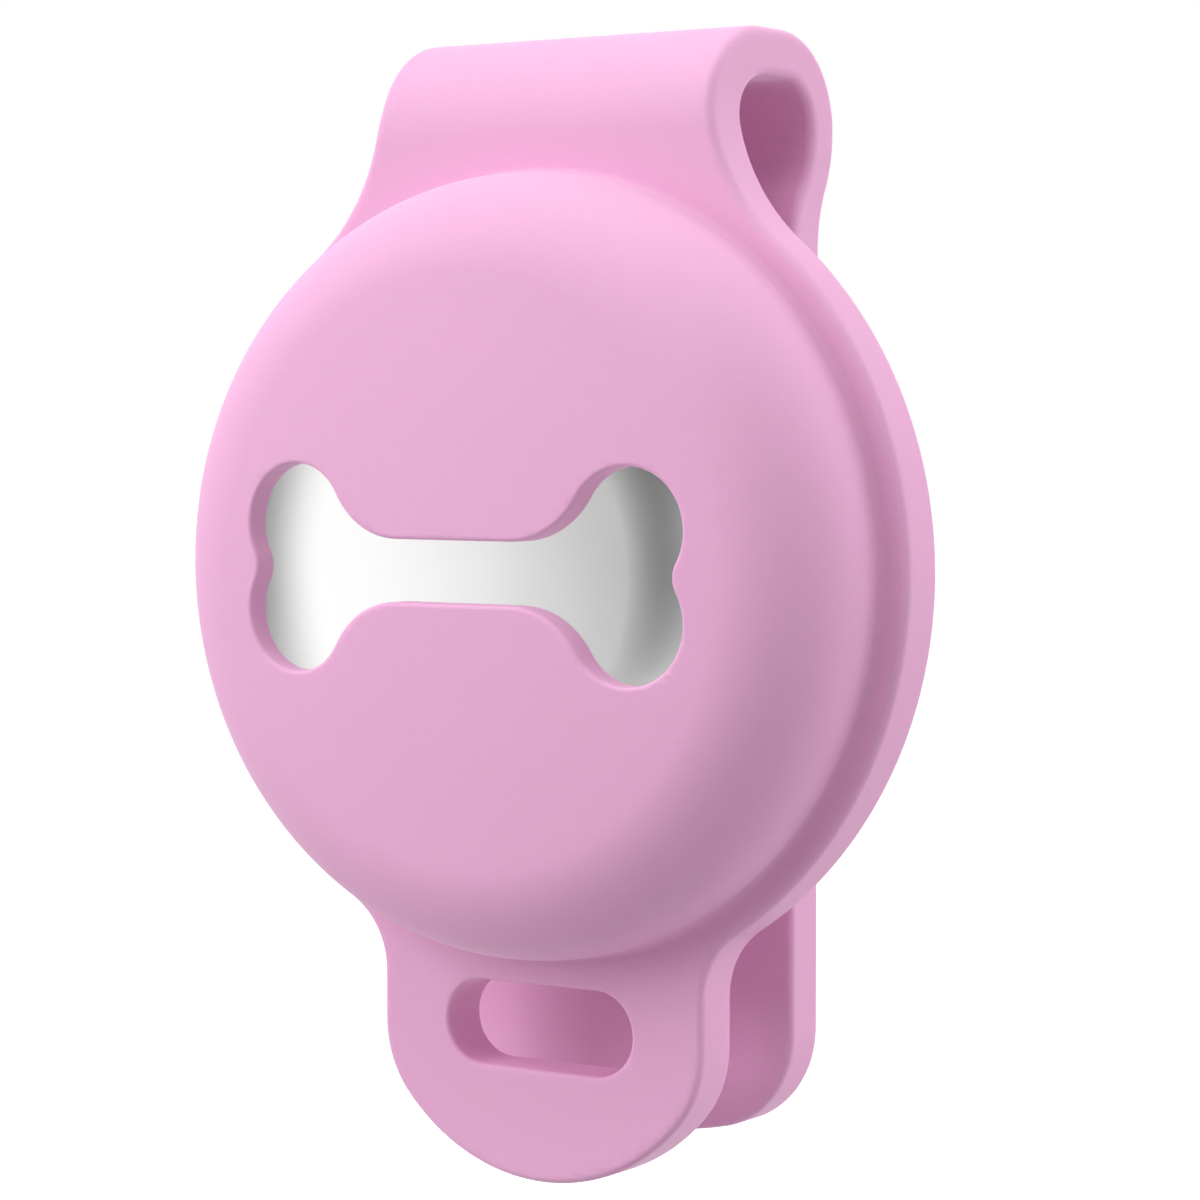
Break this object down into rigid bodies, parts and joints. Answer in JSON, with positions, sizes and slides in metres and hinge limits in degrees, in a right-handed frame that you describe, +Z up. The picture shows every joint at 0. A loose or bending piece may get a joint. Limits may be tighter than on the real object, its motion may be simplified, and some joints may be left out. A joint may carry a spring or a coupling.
{
  "type": "tracker tag holder",
  "caption": "Silicone tracker tag holder: domed round pocket with a bone-shaped window, slotted tab, and a strap folded over into a collar loop, with the tag inside.",
  "frame": {"origin": "centre of the eye of the loop that the collar passes through", "axes": "+Z up, the window faces -Y, X runs across the holder along the loop's eye"},
  "size_m": [0.041, 0.0192, 0.0562],
  "materials": {
    "silicone": "matte moulded silicone",
    "cover_steel": "satin pressed steel",
    "base_plastic": "gloss white moulding",
    "tray_plastic": "matte pale grey moulding",
    "gasket_rubber": "matte black",
    "cell_steel": "nickel-plated steel",
    "seal_plastic": "matte",
    "cell_pellet": "pressed powder",
    "contact_metal": "gold-plated spring",
    "board": "solder mask",
    "chip_black": "matte black package",
    "screen_can": "tinned steel",
    "ceramic": "fired ceramic",
    "copper": "enamelled copper",
    "yoke_steel": "zinc-plated steel",
    "magnet": "nickel plate"
  },
  "bodies": {
    "holder": {"front_shell": "silicone", "top_loop": "silicone"},
    "strap": {"rear_strap": "silicone"},
    "tag": {"base_shell": "base_plastic", "cover_gasket": "gasket_rubber", "battery_tray": "tray_plastic", "cell_can": "cell_steel", "cell_seal": "seal_plastic", "cell_cap": "cell_steel", "cell_core": "cell_pellet", "cell_contacts": "contact_metal", "circuit_board": "board", "radio_module": "screen_can", "motion_sensor": "chip_black", "timing_crystal": "screen_can", "board_capacitors": "ceramic", "antenna_ring": "copper", "magnet_yoke": "yoke_steel", "speaker_magnet": "magnet", "voice_coil": "copper"},
    "cover": {"battery_cover": "cover_steel"}
  },
  "joints": [
    {"name": "strap_swing", "type": "hinge", "parent": "holder", "child": "strap", "pos_m": [0, 0.0042, -0.0053], "axis": [1, 0, 0], "range_deg": [0, 85], "stiffness_Nm_per_rad": 0.005},
    {"name": "tag_slide", "type": "slide", "parent": "holder", "child": "tag", "axis": [0, 1, 0], "range_m": [0, 0.00495]},
    {"name": "cover_twist", "type": "hinge", "parent": "tag", "child": "cover", "pos_m": [0, -0.01195, -0.0207], "axis": [0, -1, 0], "range_deg": [0, 24]}
  ]
}
